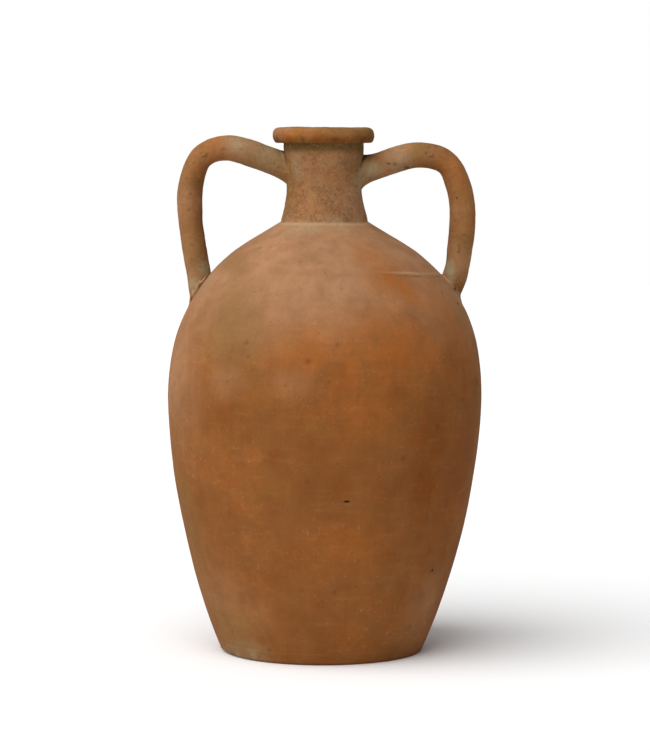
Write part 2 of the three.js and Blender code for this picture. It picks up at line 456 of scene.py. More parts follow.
def end_fan(first, middle, columns, edge_v, tip_v, forwards):
    """Triangles and UVs that close the ring starting at first with a fan round a middle point."""
    c = np.arange(columns)
    ends = [(c, c / columns), ((c + 1) % columns, (c + 1) / columns)]
    if not forwards:
        ends.reverse()
    faces = np.stack([first + ends[0][0], first + ends[1][0], np.full(columns, middle)], axis=1)
    fan = [np.stack([u, np.full(columns, edge_v)], axis=1) for _, u in ends]
    fan.append(np.stack([(c + 0.5) / columns, np.full(columns, tip_v)], axis=1))
    return faces.tolist(), np.stack(fan, axis=1).reshape(-1, 2)


def ring_places(rings, spans, weights):
    """The V coordinate of each ring, spaced by the distances between the rings."""
    steps = np.linalg.norm(np.roll(rings, -1, axis=0) - rings, axis=2).mean(axis=1)[:spans]
    if weights is not None:
        steps = steps * weights[:spans]
    v = np.concatenate([[0], np.cumsum(steps)])
    return 0.02 + 0.96 * v / v[-1]


def loft(rings, closed, weights=None):
    """Points, faces and UVs of a stack of rings, closed on itself or capped at both ends."""
    rows, columns = rings.shape[:2]
    spans = rows if closed else rows - 1
    v = ring_places(rings, spans, weights)
    row, column = (index.ravel() for index in np.indices((spans, columns)))
    after, beside = (row + 1) % rows, (column + 1) % columns
    quads = np.stack([row * columns + column, row * columns + beside,
                      after * columns + beside, after * columns + column], axis=1)
    left, right = column / columns, (column + 1) / columns
    corners = [(left, v[row]), (right, v[row]), (right, v[row + 1]), (left, v[row + 1])]
    uvs = np.stack([np.stack(corner, axis=1) for corner in corners], axis=1).reshape(-1, 2)
    points, faces = rings.reshape(-1, 3), quads.tolist()
    if closed:
        return points, faces, uvs
    points = np.vstack([points, rings[0].mean(axis=0), rings[-1].mean(axis=0)])
    count = rows * columns
    low_faces, low_uvs = end_fan(0, count, columns, v[0], 0, False)
    high_faces, high_uvs = end_fan(count - columns, count + 1, columns, v[-1], 1, True)
    return points, faces + low_faces + high_faces, np.vstack([uvs, low_uvs, high_uvs])


# ---- materials


class Nodes:
    """A node tree, with short ways to add the nodes it needs."""

    def __init__(self, tree):
        self.tree = tree

    def put(self, socket, value):
        """Link the value to the socket if it is another node's output, or else set it."""
        if isinstance(value, bpy.types.NodeSocket):
            self.tree.links.new(value, socket)
        else:
            socket.default_value = value

    def node(self, kind, inputs=None, **settings):
        made = self.tree.nodes.new(kind)
        for key, value in settings.items():
            setattr(made, key, value)
        for key, value in (inputs or {}).items():
            self.put(made.inputs[key], value)
        return made

    def span(self, value, low, high, to_low=0.0, to_high=1.0):
        """The value's place between low and high, held there, on the scale to_low to to_high."""
        inputs = {0: value, 1: low, 2: high, 3: to_low, 4: to_high}
        return self.node("ShaderNodeMapRange", inputs).outputs[0]

    def math(self, operation, a, b, c=0.0):
        return self.node("ShaderNodeMath", {0: a, 1: b, 2: c}, operation=operation).outputs[0]


class Clay(Nodes):
    """A fired clay material and the patterns in it."""

    def __init__(self, name):
        self.material = bpy.data.materials.new(name)
        self.material.use_nodes = True
        super().__init__(self.material.node_tree)
        self.shader = self.tree.nodes["Principled BSDF"]
        self.place = self.node("ShaderNodeTexCoord").outputs["Object"]
        self.broad = self.noise(75 * MM, 3.0)
        self.middling = self.noise(19 * MM, 2.5, distortion=0.6)
        self.fine = self.noise(3.4 * MM, 3.0)
        self.grain = self.noise(1.1 * MM, 2.0)
        self.wipes = self.noise(5 * MM, 3.0, stretch=(0.16, 0.16, 1))
        self.streaks = self.noise(7 * MM, 3.0, stretch=(1, 1, 0.10))

    def stretched(self, size, stretch):
        """The place on the object in units of the size."""
        scale = [s / size for s in stretch]
        return self.node("ShaderNodeMapping", {"Vector": self.place, "Scale": scale}).outputs[0]

    def noise(self, size, detail=2.0, stretch=(1, 1, 1), distortion=0.0):
        """Noise around 0.5 with features of about the given size in metres."""
        inputs = {"Vector": self.stretched(size, stretch), "Scale": 1.0, "Detail": detail,
                  "Distortion": distortion}
        return self.node("ShaderNodeTexNoise", inputs).outputs["Fac"]

    def specks(self, size, radius, share):
        """Small round specks: 1 inside, in that share of the cells of the given size."""
        inputs = {"Vector": self.stretched(size, (1, 1, 1)), "Scale": 1.0}
        cells = self.node("ShaderNodeTexVoronoi", inputs).outputs
        chance = self.node("ShaderNodeSeparateColor", {"Color": cells["Color"]}).outputs["Red"]
        dot = self.span(cells["Distance"], radius, radius * 0.45)
        return self.math("MULTIPLY", dot, self.math("LESS_THAN", chance, share))

    def lines(self, size, width, pieces, kept):
        """Thin wandering lines, broken into short pieces: 1 on a line."""
        wander = self.noise(size, 2.0, distortion=1.4)
        away = self.math("ABSOLUTE", self.math("SUBTRACT", wander, 0.5), 0.0)
        broken = self.span(self.noise(size * pieces, 1.0), kept, kept + 0.08)
        return self.math("MULTIPLY", self.span(away, width, width * 0.3), broken)

    def vector(self, operation, a, b=(0, 0, 0)):
        return self.node("ShaderNodeVectorMath", {0: a, 1: b}, operation=operation).outputs

    def mask(self, name):
        return self.node("ShaderNodeAttribute", attribute_name=name).outputs["Fac"]

    def mix(self, below, above, share):
        inputs = {0: share, 6: below, 7: above}
        return self.node("ShaderNodeMix", inputs, data_type="RGBA").outputs[2]

    def scaled(self, colour, factor):
        inputs = {0: colour, "Scale": factor}
        return self.node("ShaderNodeVectorMath", inputs, operation="SCALE").outputs[0]

    def painted(self, colour, layers):
        """The colour under layers of palette colours, each with its shape and its share."""
        for name, shape, share in layers:
            colour = self.mix(colour, PALETTE[name], self.math("MULTIPLY", shape, share))
        return colour

    def weighted_sum(self, total, shares):
        """The total with each pattern times its share added to it."""
        for pattern, share in shares:
            total = self.math("MULTIPLY_ADD", pattern, share, total)
        return total


def hollows(clay, pits):
    """1 inside small sharp-edged pits, given as their places, half widths and half heights."""
    total = 0.0
    for centre, wide, tall in pits:
        moved = clay.vector("SUBTRACT", clay.place, tuple(centre))[0]
        ratio = clay.vector("MULTIPLY", moved, (1 / wide, 1 / wide, 1 / tall))[0]
        away = clay.vector("LENGTH", ratio)["Value"]
        ragged = clay.math("MULTIPLY_ADD", clay.noise(1.3 * MM, 1.0), 0.8, away)
        total = clay.math("MAXIMUM", total, clay.span(ragged, 1.5, 1.2))
    return total


def srgb(red, green, blue):
    """A colour given as it looks on a screen, 0 to 255, as the linear colour that shaders take."""
    parts = [c / 255 for c in (red, green, blue)]
    linear = [c / 12.92 if c <= 0.04045 else ((c + 0.055) / 1.055) ** 2.4 for c in parts]
    return (*linear, 1.0)


PALETTE = {
    "ember": srgb(154, 88, 36),
    "umber": srgb(114, 59, 15),
    # olive: olive patches on the handles, and the colour of the painted shadow under the lip
    "olive": srgb(102, 78, 38),
    "ash": srgb(124, 90, 48),
    # dust patches, and the paler top of the body, which is partly painted light from above
    "dust_and_painted_light": srgb(159, 117, 84),
    "lichen": srgb(146, 140, 112),
    # soot: dark specks, and painted shade where the pit mask carries it
    "soot_and_shade": srgb(58, 38, 22),
    "hole": srgb(28, 18, 12),
    # chalk: pale scratches, flakes and specks, and the painted highlight on the seam ridge
    "chalk_and_highlight": srgb(184, 156, 118),
}


# Colours of patches, from the lowest, with the least and the most of each that shows
PATCH_SHARES = [
    ("dust_and_painted_light", 0.82, 0.95),
    ("ember", 0.75, 1.1),
    ("umber", 0.7, 1.1),
    ("ash", 0.7, 1.1),
    ("olive", 0.8, 1.0),
    ("lichen", 0.5, 1.2),
]

# Finish that all the clays share
LEAST_ROUGHNESS = 0.80
ROUGHNESS_RANGE = 0.16
FINISH = {
    "Specular IOR Level": 0.06,
    "Sheen Weight": 0.02,
    "Sheen Roughness": 0.45,
    "Sheen Tint": (0.9, 0.78, 0.62, 1.0),
}


def fired_colour(clay, base, mottle):
    """The base colour under the patches that the fire and the years have left."""
    rusty = clay.span(clay.broad, 0.52, 0.70)
    dull = clay.span(clay.noise(30 * MM, 3.0), 0.50, 0.70)
    greyed = clay.span(clay.noise(24 * MM, 2.5, distortion=0.8), 0.50, 0.76)
    patchy = clay.span(clay.middling, 0.35, 0.62)
    layers = [("ember", rusty, 0.25 * mottle), ("umber", dull, 0.25 * mottle)]
    for name, least, most in PATCH_SHARES:
        layers.append((name, clay.mask(name), clay.span(patchy, 0, 1, least, most)))
    layers.append(("ash", greyed, 0.22 * mottle))
    return clay.painted(base, layers)


def worm_tracks(clay, worms):
    """Dark burrows and pale flakes of the strength that worms gives."""
    burrows = clay.math("MULTIPLY", clay.lines(9 * MM, 0.040, 1.1, 0.45), worms)
    flakes = clay.math("MULTIPLY", clay.lines(7 * MM, 0.035, 0.9, 0.48), worms)
    return burrows, flakes


def wiped_and_scratched(clay, colour, burrows, flakes):
    film = clay.span(clay.wipes, 0.58, 0.78)
    scratches = clay.lines(13 * MM, 0.014, 0.5, 0.50)
    scratched = clay.span(clay.broad, 0.46, 0.60, 0.0, 0.17)
    layers = [("dust_and_painted_light", film, 0.12), ("chalk_and_highlight", scratches, scratched), ("umber", burrows, 0.32),
              ("chalk_and_highlight", flakes, 0.3)]
    return clay.painted(colour, layers)


def unevenly_lit(clay, colour, mottle, sandy):
    """The colour made a little lighter and darker at every scale, from patches to sand."""
    patterns = [clay.broad, clay.middling, clay.fine, clay.grain, clay.wipes, clay.streaks]
    shares = mottle * np.array([0.26, 0.30, 0.19 * sandy, 0.24 * sandy, 0.10, 0.16])
    middle = 1 - 0.5 * shares.sum()
    return clay.scaled(colour, clay.weighted_sum(middle, zip(patterns, shares)))


def specks_pits_and_painted_light(clay, colour, pits):
    layers = [
        ("chalk_and_highlight", clay.specks(5.5 * MM, 0.13, 0.42), 0.26),
        ("soot_and_shade", clay.specks(7.5 * MM, 0.11, 0.40), 0.5),
        # The edge mask in the chalk colour: painted highlight on the seam ridge, a pale band under
        # the crease and pale smears on a wad.
        ("chalk_and_highlight", clay.mask("edge"), 0.62),
        # The pit mask in the soot colour: dark pits, chips, cracks and worm tracks, and painted
        # shade in grooves, under the lip, inside the pot and at the foot's lowest edge.
        ("soot_and_shade", clay.mask("pit_and_shade"), 0.85),
        ("hole", hollows(clay, pits), 0.92),
    ]
    return clay.painted(colour, layers)


def clay_material(name, base, mottle=1.0, grit=1.0, sandy=1.0, worms=0.0, pits=()):
    """Unglazed clay: fired patches, a dusty film and wipe marks, sandy grain and dark pits, with
    painted light and shade where its masks carry them.
    """
    clay = Clay(name)
    burrows, flakes = worm_tracks(clay, worms)
    colour = fired_colour(clay, base, mottle)
    colour = wiped_and_scratched(clay, colour, burrows, flakes)
    colour = unevenly_lit(clay, colour, mottle, sandy)
    colour = specks_pits_and_painted_light(clay, colour, pits)
    nicks = clay.specks(3.1 * MM, 0.2, 0.4)
    height = clay.weighted_sum(0.0, [(clay.fine, 0.9), (clay.grain, 0.45), (clay.wipes, 0.35),
                                     (burrows, -0.8), (flakes, 0.8), (nicks, -0.5)])
    bump = {"Height": height, "Distance": 0.14 * MM * grit, "Strength": 0.8}
    sockets = FINISH | {
        "Base Color": colour,
        "Roughness": clay.math("MULTIPLY_ADD", clay.fine, ROUGHNESS_RANGE, LEAST_ROUGHNESS),
        "Normal": clay.node("ShaderNodeBump", bump).outputs[0],
    }
    for socket, value in sockets.items():
        clay.put(clay.shader.inputs[socket], value)
    return clay.material


# Deep pits in the body: azimuth, height, half width and half height in mm
DEEP_PITS = [(8.6, 161.5, 2.6, 0.8), (54.9, 87, 1.6, 1.6), (75, 340, 1.5, 1.5),
             (165, 150, 2.4, 1.0), (214, 302, 1.4, 1.4)]


def deep_pits():
    """Place, half width and half height of each deep pit, in metres."""
    pits = []
    for azimuth, height, wide, tall in DEEP_PITS:
        place = surface_point(azimuth, height * MM) + (lean(height * MM), 0, 0)
        pits.append((place, wide * MM, tall * MM))
    return pits


WALL_CLAY = srgb(128, 79, 39)
NECK_CLAY = srgb(146, 106, 71)
LIP_CLAY = srgb(136, 98, 58)
HANDLE_CLAY = srgb(139, 100, 64)
WAD_CLAY = srgb(138, 104, 70)

MATERIALS = {
    "terracotta_wall": clay_material("body_clay", WALL_CLAY, pits=deep_pits()),
    "terracotta_neck": clay_material("neck_clay", NECK_CLAY, mottle=1.3, grit=4.0, sandy=1.3,
                                     worms=1.0),
    "terracotta_lip": clay_material("lip_clay", LIP_CLAY, mottle=1.7, grit=2.8, sandy=1.4),
    "terracotta_handle": clay_material("handle_clay", HANDLE_CLAY, mottle=1.3, grit=2.6, sandy=1.5),
    "luting_clay": clay_material("wad_clay", WAD_CLAY, mottle=1.4, grit=3.0, sandy=1.6),
}


# ---- sections of the pot


# Directions of the columns of the pot's pieces
TURN = np.arange(COLUMNS) / COLUMNS * TAU
COS, SIN = np.cos(TURN), np.sin(TURN)


def circle(radius, height):
    """A ring of points round Z. The radius and the height may change on the way round."""
    return np.stack([radius * COS, radius * SIN, height + 0 * COS], axis=1)


def grid_of(heights):
    """Azimuths and heights of every point of a stack of rings, row by row."""
    return np.tile(TURN, len(heights)), np.repeat(heights, COLUMNS)


def outer_rings(heights):
    """Rings of the outer face at the heights, with their normals and masks."""
    rise_step = 0.9 * MM
    turn_step = TAU / COLUMNS / 2
    azimuths, z = grid_of(heights)
    points, masks = wall_surface(azimuths, z)
    above, below = (wall_surface(azimuths, z + step)[0] for step in (rise_step, -rise_step))
    left, right = (wall_surface(azimuths + step, z)[0] for step in (-turn_step, turn_step))
    normals = unit(np.cross(right - left, above - below))
    masks.update(colour_masks(points))
    shape = (len(heights), COLUMNS, 3)
    return points.reshape(shape), normals.reshape(shape), masks


def inner_rings(heights, depth):
    azimuths, z = grid_of(heights)
    return inner_surface(azimuths, z, depth).reshape(len(heights), COLUMNS, 3)


def even_heights(low, high, step):
    return np.linspace(low, high, max(2, round((high - low) / step) + 1))


def pot_section(name, low, high, inner_low, inner_high, slot, step=1.9 * MM, depth=WALL):
    """A ring of wall from one joint to the next: up the outside and back down the inside."""
    outer, outer_normals, masks = outer_rings(even_heights(low, high, step))
    inner = inner_rings(even_heights(inner_high, inner_low, 5 * MM), depth)
    inner_masks = colour_masks(inner.reshape(-1, 3))
    # Painted shade: the whole inner face a little darker, in the pit colour.
    inner_masks["pit_and_shade"] = np.full(inner[..., 0].size, 0.12)
    inner_masks["edge"] = np.zeros(inner[..., 0].size)
    masks = {mask: np.append(masks[mask], inner_masks[mask]) for mask in masks}
    weights = np.repeat([1, 0.35], [len(outer), len(inner)])
    rings = np.concatenate([outer, inner])
    return finished_loft(name, rings, True, weights, masks, slot, outer_normals)


def finished_loft(name, rings, closed, weights, masks, slot, known_normals=None):
    """A piece from rings. Known normals of the first rings make neighbours shade as one."""
    points, faces, uvs = loft(rings, closed, weights)
    capped = len(points) - rings.shape[0] * rings.shape[1]
    masks = {mask: np.append(values, [values.mean()] * capped) for mask, values in masks.items()}
    piece = add_piece(name, points, faces, uvs, masks, slot)
    if known_normals is not None:
        normals = np.zeros(len(points) * 3)
        piece.data.vertex_normals.foreach_get("vector", normals)
        known = known_normals.ravel()
        normals[: len(known)] = known
        piece.data.normals_split_custom_set_from_vertices(normals.reshape(-1, 3).tolist())
    return piece


def underside(foot, soft):
    """Rings of the slightly hollow underside, with the marks of the wire that cut it."""
    rings = []
    for share in np.linspace(0.02, 1, 44) ** 0.8:
        ring = circle(share * (foot - soft), 0)
        bow = np.hypot(ring[:, 0] + 260 * MM, ring[:, 1] - 90 * MM)
        cut = 0.14 * MM * np.sin(TAU * bow / (6.5 * MM)) + 0.25 * MM * dents(ring, 18 * MM)
        ring[:, 2] = np.maximum(1.1 * MM * (1 - share**6) + cut * (1 - share**8), 0)
        rings.append(ring)
    return rings


def foot_edge(soft):
    """Rings round the softened lower edge of the foot."""
    rings = []
    for angle in np.radians([22, 45, 68]):
        z = soft * (1 - np.cos(angle))
        rings.append(circle(outline_at(z)[0] - soft * (1 - np.sin(angle)), z))
    return rings


def floor_inside():
    """Rings of the floor, with the spiral that a finger leaves in it."""
    rings = []
    for share in np.linspace(0.97, 0.02, 18):
        r = share * outline_at(FLOOR)[0]
        swirl = np.sin(TAU * (r / (9 * MM) + TURN / TAU))
        rings.append(circle(r, FLOOR + 0.3 * MM * swirl * np.clip((0.9 - share) / 0.1, 0, 1)))
    return rings


def base_slab():
    """The foot: a cut-off underside, a softened lower edge and the floor inside."""
    soft = np.maximum(2.2 - 2.0 * COS, 0.9) * MM
    foot = outline_at(0.0)[0]
    under = np.array(underside(foot, soft) + foot_edge(soft))
    under[..., 0] += lean(0.0)
    wall, _, wall_masks = outer_rings(even_heights(3.2 * MM, FLOOR, 1.5 * MM))
    rings = np.concatenate([under, wall, floor_inside()])
    points = rings.reshape(-1, 3)
    masks = colour_masks(points)
    before = len(under) * COLUMNS
    after = len(points) - before - len(wall) * COLUMNS
    for name in ("pit_and_shade", "edge"):
        masks[name] = np.pad(wall_masks[name], (before, after))
    x, y, z = points.T
    # Painted shade: the lowest edge of the foot, where it meets the floor, darkened with the pit
    # colour.
    lowest = bump_profile((z - 0.4 * MM) / (1.8 * MM)) * (np.hypot(x, y) > 0.93 * foot)
    masks["pit_and_shade"] = np.maximum(masks["pit_and_shade"], 0.3 * lowest)
    return finished_loft("foot_slab", rings, False, None, masks, "terracotta_wall")


# Section of the rolled lip, from the neck outwards and over into the mouth: (radius, height) in mm
LIP_SECTION = [
    (38.8, 492.5), (40.8, 494.4), (43.6, 493.0), (46.6, 493.4), (48.7, 496.8), (49.1, 501),
    (48.1, 504.8), (45.4, 507.3), (41.5, 508), (37, 507.8), (33.2, 506), (31.3, 502), (31, 497),
    (31, 492.5),
]
# Chips out of the lip's lower edge: azimuth in degrees, half width and depth in mm
LIP_CHIPS = [(-24, 4.0, 0.5), (14, 7.0, 0.9), (52, 5.0, 1.5), (-66, 4.0, 0.8), (118, 5.0, 1.2),
             (171, 3.2, 1.0), (236, 4.4, 1.3)]


def lip_ring(r, z, normal_r, normal_z):
    """One ring of the lip, and where it is chipped, from 0 to 1."""
    ring = circle(r, z)
    high = 0.6 * MM * swell(ring, 26 * MM) + 0.3 * MM * dents(ring, 9 * MM)
    high = high + 0.16 * MM * grain(ring, 3.2 * MM)
    low_edge = bump_profile((z - 495 * MM) / (5.5 * MM)) * (r > 41 * MM)
    chipped = np.zeros(COLUMNS)
    for azimuth, wide, deep in LIP_CHIPS:
        away = np.radians((np.degrees(TURN) + 90 - azimuth + 180) % 360 - 180)
        chip = bump_profile(away * r / (wide * MM)) * low_edge
        high = high - deep * MM * chip
        chipped = np.maximum(chipped, chip)
    free = np.clip((z - NECK_TOP) / (2 * MM), 0, 1)
    ring = ring + circle(normal_r, normal_z) * (high * free)[:, None]
    ring[:, 0] += lean(z)
    return ring, chipped


def lip_masks(points, chipped):
    """Masks of the lip: brown lower edge, dusty top, mottled front, dark chips, and painted shadow
    in the groove under the hook and on the lip's lowest part.
    """
    x, y, z = points.T
    masks = colour_masks(points)
    # Painted shadow in the groove between the neck and the lip's hooked lower edge.
    groove = bump_profile((z - 493.6 * MM) / (1.6 * MM)) * (np.hypot(x, y) < 43 * MM)
    masks["pit_and_shade"] = np.maximum(0.4 * chipped, 0.6 * groove)
    uneven = z + 3.2 * MM * dents(points, 8 * MM)
    masks["umber"] = 0.9 * (1 - rise(uneven, 495.5, 503.5))
    glow = 0.4 * band(uneven, 497, 506, 3) + 0.4 * np.clip(swell(points, 24 * MM), 0, 1)
    masks["ember"] = glow * (1 - 0.7 * rise(x, 10, 40))
    masks["dust_and_painted_light"] = np.clip(0.4 * band(z, 503, 512, 3) + 0.8 * dents(points, 15 * MM), 0, 0.9)
    # Painted shadow on the lip's lowest part under its roll, and olive towards its right side.
    masks["olive"] = np.maximum(0.5 * band(z, 480, 496, 2), 0.6 * rise(x, 26, 48))
    return masks


def rim():
    """The lip: a rolled ring with a wavy flat top, a hooked lower edge and a few chips."""
    path = smooth_path(LIP_SECTION, 96) * MM
    tangents = unit(np.gradient(path, axis=0))
    rings, chipped = zip(*(lip_ring(r, z, tz, -tr) for (r, z), (tr, tz) in zip(path, tangents)))
    rings = np.array(rings)
    masks = lip_masks(rings.reshape(-1, 3), np.concatenate(chipped))
    return finished_loft("lip", rings, True, None, masks, "terracotta_lip")


# ---- handles

# Centrelines as in the CAD source: (x, height) in mm, from the neck to the shoulder
HANDLE_LINES = {
    "left": [(-28, 466), (-55, 477), (-92, 488), (-117.5, 479.4), (-129, 452), (-129.8, 420),
             (-125.6, 384), (-121, 350), (-117.5, 325)],
    "right": [(28, 463), (54, 471.6), (90, 481.3), (118, 474), (130, 450), (133.4, 422),
              (130, 388), (125.3, 365), (118.5, 350), (108, 338)],
}
# Half thickness in mm along a handle, from the neck (0) to the shoulder (1)
HALF_THICKNESS = [(0, 12.9), (0.2, 12.7), (0.4, 11.4), (0.6, 12.1), (1, 11.8)]
HALF_WIDTH = 13.5 * MM
HANDLE_DEPTH_IN_WALL = 4 * MM

# Patches of colour on the handles: x, height, radius in mm, and strength
HANDLE_PATCHES = {
    "ember": [(-104, 494, 24, 0.5), (-131, 418, 26, 0.25), (96, 468, 9, 0.6), (126, 462, 22, 0.5)],
    "umber": [(-122, 462, 15, 0.4), (-116, 420, 10, 0.3), (104, 466, 14, 0.45), (146, 420, 12, 0.6),
              (130, 351, 9, 1.0), (-124, 338, 6, 0.7)],
    "dust_and_painted_light": [(-82, 490, 26, 1.0), (-136, 430, 16, 0.6), (66, 486, 22, 0.8), (60, 470, 22, 0.5),
             (127, 380, 16, 0.6), (-122, 352, 12, 0.6)],
    "ash": [(-66, 474, 20, 0.5), (-126, 396, 22, 0.3), (92, 486, 14, 0.6), (140, 400, 14, 0.4),
            (-48, 476, 14, 0.5), (46, 474, 12, 0.4)],
    "olive": [(-120, 454, 11, 0.6), (-115, 408, 8, 0.4)],
    "lichen": [(-113, 370, 9, 0.65), (118, 376, 6, 0.7), (119.5, 369.5, 6.5, 0.9),
               (121.5, 363, 5, 0.7), (-84, 494, 14, 0.45), (-55, 476, 20, 0.4), (44, 468, 10, 0.5),
               (133, 345, 8, 0.6), (-127, 356, 7, 0.5), (70, 478, 12, 0.35)],
}
# Dark pits on the front of the handles: x, height, half width and half height in mm
HANDLE_PITS = [(125.5, 352.5, 1.8, 1.8), (131.5, 351, 1.2, 1.2), (62, 473, 1.6, 1.2),
               (67.5, 472.5, 1.3, 1.3), (79, 469, 3.6, 1.2), (-115, 396, 1.1, 1.4),
               (127, 440, 1.0, 1.6), (-129, 444, 1.2, 1.2)]


def handle_masks(points):
    """Masks of the handles' patches, which run round the handle from front to back."""
    masks = {}
    for name, patches in HANDLE_PATCHES.items():
        placed = [(np.array([x, 0, z]) * MM, radius * MM, radius * MM, strength)
                  for x, z, radius, strength in patches]
        masks[name] = patch_strengths(points, placed, weights=(1, 0.25, 1))
    return masks


def handle_pits(points):
    """How far each point lies in one of the dark pits, from 0 to 1."""
    x, y, z = points.T
    inside = np.zeros(len(points))
    for at, height, wide, tall in HANDLE_PITS:
        ratio = np.hypot((x - at * MM) / wide, (z - height * MM) / tall) / (1.3 * MM)
        inside = np.maximum(inside, bump_profile(ratio) * (y < 0))
    return inside


def handle_frame(side):
    """A handle's centreline at even steps, with the outward and sideways directions there."""
    sign = -1 if side == "left" else 1
    line = smooth_path(HANDLE_LINES[side], SWEEP_ROWS) * MM
    lengths = arc_lengths(line)
    even = np.linspace(0, lengths[-1], SWEEP_ROWS)
    x, z = (np.interp(even, lengths, line[:, k]) for k in (0, 1))
    centre = np.stack([x, 0 * x, z], axis=1)
    tangent = unit(np.gradient(centre, axis=0))
    outwards = sign * np.stack([-tangent[:, 2], 0 * x, tangent[:, 0]], axis=1)
    return centre, outwards, np.cross(tangent, outwards)


def handle_sweep(side):
    """The whole handle as rings of points, with its ends still deep inside the pot."""
    centre, outwards, sideways = (part[:, None] for part in handle_frame(side))
    turn = np.arange(HANDLE_COLUMNS) / HANDLE_COLUMNS * TAU
    cos, sin = np.cos(turn)[None, :, None], np.sin(turn)[None, :, None]
    shares, sizes = np.array(HALF_THICKNESS).T
    thick = np.interp(np.linspace(0, 1, SWEEP_ROWS), shares, sizes)[:, None, None] * MM
    spoke = outwards * cos * thick + sideways * sin * HALF_WIDTH
    normal = unit(outwards * cos / thick + sideways * sin / HALF_WIDTH).reshape(-1, 3)
    plain = (centre + spoke).reshape(-1, 3)
    high = 0.65 * MM * swell(plain, 34 * MM) + 0.35 * MM * dents(plain, 13 * MM)
    high = high + 0.14 * MM * grain(plain, 5 * MM) + 0.08 * MM * crumble(plain, 2.6 * MM)
    nicks = np.clip((crumble(plain, 3.4 * MM) - 0.62) / 0.3, 0, 1)
    high = high - 0.45 * MM * nicks - 0.9 * MM * handle_pits(plain)
    points = plain + normal * high[:, None]
    points[:, 0] += lean(points[:, 2])
    shape = (SWEEP_ROWS, HANDLE_COLUMNS)
    return points.reshape(*shape, 3), nicks.reshape(shape)


def depth_in_wall(points):
    """How deep the points lie under the plain outline, less than 0 outside it."""
    r, out, _ = outline_at(points[..., 2])
    return (r - np.hypot(points[..., 0] - lean(points[..., 2]), points[..., 1])) * out


def first_below(values, level):
    """Where each column of values first falls under the level, as a fractional row."""
    row = np.argmax(values < level, axis=0)
    column = np.arange(values.shape[1])
    above, below = values[row - 1, column], values[row, column]
    return row - 1 + (above - level) / (above - below)


def sampled(grid, rows):
    """Values of the grid's columns at fractional rows."""
    i = np.clip(rows.astype(int), 0, len(grid) - 2)
    f = rows - i
    column = np.arange(grid.shape[1])
    a, b = grid[i, column], grid[i + 1, column]
    if grid.ndim == 3:
        f = f[..., None]
    return a * (1 - f) + b * f


def handle(side):
    """A pulled handle, from a little inside the neck to a little inside the shoulder."""
    sweep, nicks = handle_sweep(side)
    depth = depth_in_wall(sweep)
    start = first_below(depth, HANDLE_DEPTH_IN_WALL)
    end = SWEEP_ROWS - 1 - first_below(depth[::-1], HANDLE_DEPTH_IN_WALL)
    places = [start + (end - start) * share for share in np.linspace(0, 1, HANDLE_ROWS)]
    rings = np.array([sampled(sweep, rows) for rows in places])
    points = rings.reshape(-1, 3)
    masks = handle_masks(points)
    nicked = np.concatenate([sampled(nicks, rows) for rows in places])
    masks["pit_and_shade"] = np.maximum(0.45 * nicked, handle_pits(points))
    return finished_loft(f"{side}_handle_pulled", rings, False, None, masks, "terracotta_handle")


# How far each wad reaches along its handle and over the wall, in mm: on the handle's outer
# side, on its inner side, and at its two flanks
WAD_REACH = {
    ("left", "neck"): {"handle": (7, 20, 9), "wall": (4, 2.5, 5)},
    ("left", "shoulder"): {"handle": (8, 1.4, 9), "wall": (9, 1.5, 6)},
    ("right", "neck"): {"handle": (15, 24, 12), "wall": (6, 6, 6)},
    ("right", "shoulder"): {"handle": (4, 1.2, 6), "wall": (14, 1.5, 6)},
}


# How deep the edges of a wad sink into the handle and the wall
SUNK = 0.35 * MM


def around(reach, turn):
    """A reach that goes from its outer value to its flank and inner values round the handle."""
    outer, inner, flank = reach
    side = np.cos(turn)
    there = np.where(side > 0, outer, inner)
    return (flank + (there - flank) * np.abs(side) ** 1.6) * MM


def azimuths_of(points):
    return np.arctan2(points[:, 1], points[:, 0] - lean(points[:, 2]))


def wad_lines(side, end):
    """Lines along the handle's surface from inside the pot, one for each column of a wad."""
    sweep, _ = handle_sweep(side)
    turn = np.arange(WAD_COLUMNS) / WAD_COLUMNS * TAU
    if end == "shoulder":
        sweep = sweep[::-1]
        turn = -turn
    place = (turn / TAU % 1) * HANDLE_COLUMNS
    low = place.astype(int) % HANDLE_COLUMNS
    share = (place - place.astype(int))[None, :, None]
    return sweep[:, low] * (1 - share) + sweep[:, (low + 1) % HANDLE_COLUMNS] * share, turn


def wad_guides(lines, turn, reach):
    """A wad's edge on the wall, the bare corner and its edge on the handle, each as a ring of
    points, with the directions out of the handle and out of the wall."""
    spacing = np.linalg.norm(lines[1:] - lines[:-1], axis=2).mean()
    crossing = first_below(depth_in_wall(lines), 0)
    corner = sampled(lines, crossing)
    axis = sampled(np.repeat(lines.mean(axis=1)[:, None], WAD_COLUMNS, axis=1), crossing)
    spoke = unit(corner - axis)
    _, normal = plain_surface(azimuths_of(corner), corner[:, 2])
    along_wall = unit(spoke - normal * np.sum(spoke * normal, axis=1, keepdims=True))
    uneven = 1 + 0.22 * swell(corner, 11 * MM) + 0.12 * dents(corner, 4 * MM)
    foot = corner + along_wall * (around(reach["wall"], turn) * uneven)[:, None]
    bottom, _ = wall_surface(azimuths_of(foot), foot[:, 2])
    top = sampled(lines, crossing + around(reach["handle"], turn) * uneven / spacing)
    return bottom - normal * SUNK, corner, top - spoke * SUNK, spoke, normal


